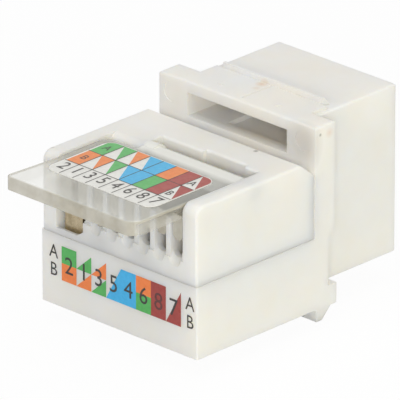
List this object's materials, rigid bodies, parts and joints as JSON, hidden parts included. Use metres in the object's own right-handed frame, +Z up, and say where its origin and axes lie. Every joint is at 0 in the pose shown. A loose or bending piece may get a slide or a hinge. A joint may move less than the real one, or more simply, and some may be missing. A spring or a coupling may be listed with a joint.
{
  "type": "keystone jack",
  "caption": "Tool-less keystone jack: modular plug socket with a panel catch, a wire comb over cutting contacts, and a hinged cap that presses the wires home.",
  "frame": {"origin": "centre of the base block's flat underside", "axes": "+X across the jack, +Y from the wire end to the plug opening, +Z up out of the wire terminals"},
  "size_m": [0.0194, 0.0341, 0.0198],
  "materials": {
    "housing_plastic": "satin ivory-white moulding",
    "terminal_plastic": "satin ivory-white moulding",
    "carrier_plastic": "satin dark moulding",
    "board_laminate": "green solder mask",
    "cap_plastic": "smooth translucent white moulding",
    "label_film": "printed film",
    "spring_metal": "plated spring wire",
    "idc_metal": "tinned bronze"
  },
  "bodies": {
    "housing": {"main_housing": "housing_plastic", "terminal_housing": "terminal_plastic", "contact_carrier": "carrier_plastic", "circuit_board": "board_laminate", "spring_contact_1": "spring_metal", "spring_contact_2": "spring_metal", "spring_contact_3": "spring_metal", "spring_contact_4": "spring_metal", "spring_contact_5": "spring_metal", "spring_contact_6": "spring_metal", "spring_contact_7": "spring_metal", "spring_contact_8": "spring_metal", "idc_contact_1": "idc_metal", "idc_contact_2": "idc_metal", "idc_contact_3": "idc_metal", "idc_contact_4": "idc_metal", "idc_contact_5": "idc_metal", "idc_contact_6": "idc_metal", "idc_contact_7": "idc_metal", "idc_contact_8": "idc_metal"},
    "cap": {"press_cap": "cap_plastic", "cap_label": "label_film"}
  },
  "joints": [
    {"name": "cap_hinge", "type": "hinge", "parent": "housing", "child": "cap", "pos_m": [0, 0.00035, 0.01356], "axis": [-1, 0, 0], "range_deg": [0, 90]}
  ]
}
